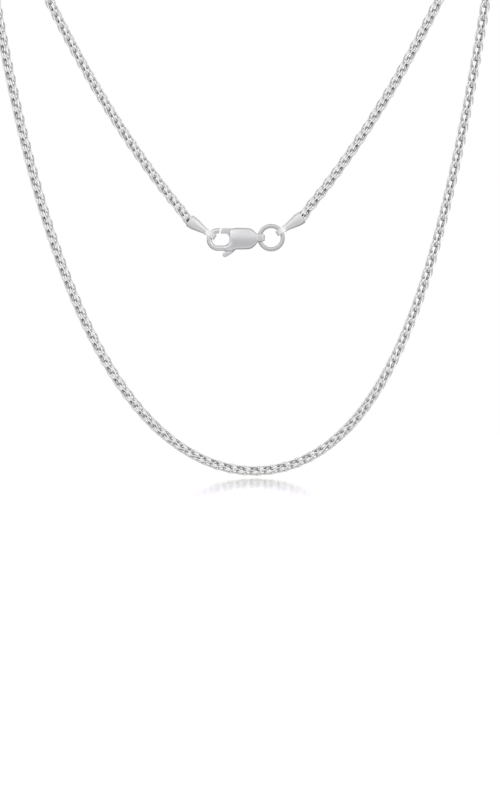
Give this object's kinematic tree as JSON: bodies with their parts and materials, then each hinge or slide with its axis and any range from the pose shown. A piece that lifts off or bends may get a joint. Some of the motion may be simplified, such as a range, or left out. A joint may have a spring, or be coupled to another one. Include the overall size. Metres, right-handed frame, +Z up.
{
  "type": "wheat chain necklace with lobster clasp",
  "caption": "Closed neck chain of interlocked double-loop wire links, with crimped end tags, a jump ring and a lobster clasp with a sprung lever, hanging over a bar.",
  "frame": {"origin": "middle of the axis of the level bar that the chain hangs over", "axes": "+Z up, +Y from the front strand to the back strand with the clasp, X along the bar"},
  "size_m": [0.1039, 0.0183, 0.1155],
  "materials": {
    "chain_silver": "bright polished silver links",
    "fitting_silver": "bright polished cast silver"
  },
  "bodies": {
    "root": {"chain_left": "chain_silver", "chain_right": "chain_silver", "end_tag_left": "fitting_silver", "end_tag_right": "fitting_silver", "jump_ring": "fitting_silver", "clasp_body": "fitting_silver", "clasp_rivet": "fitting_silver"},
    "lever": {"clasp_lever": "fitting_silver"}
  },
  "joints": [
    {"name": "lever_swing", "type": "hinge", "parent": "root", "child": "lever", "pos_m": [-0.0012, 0.008, -0.0586], "axis": [0, -1, 0], "range_deg": [0, 32], "stiffness_Nm_per_rad": 0.004, "springref_deg": -22.92}
  ]
}
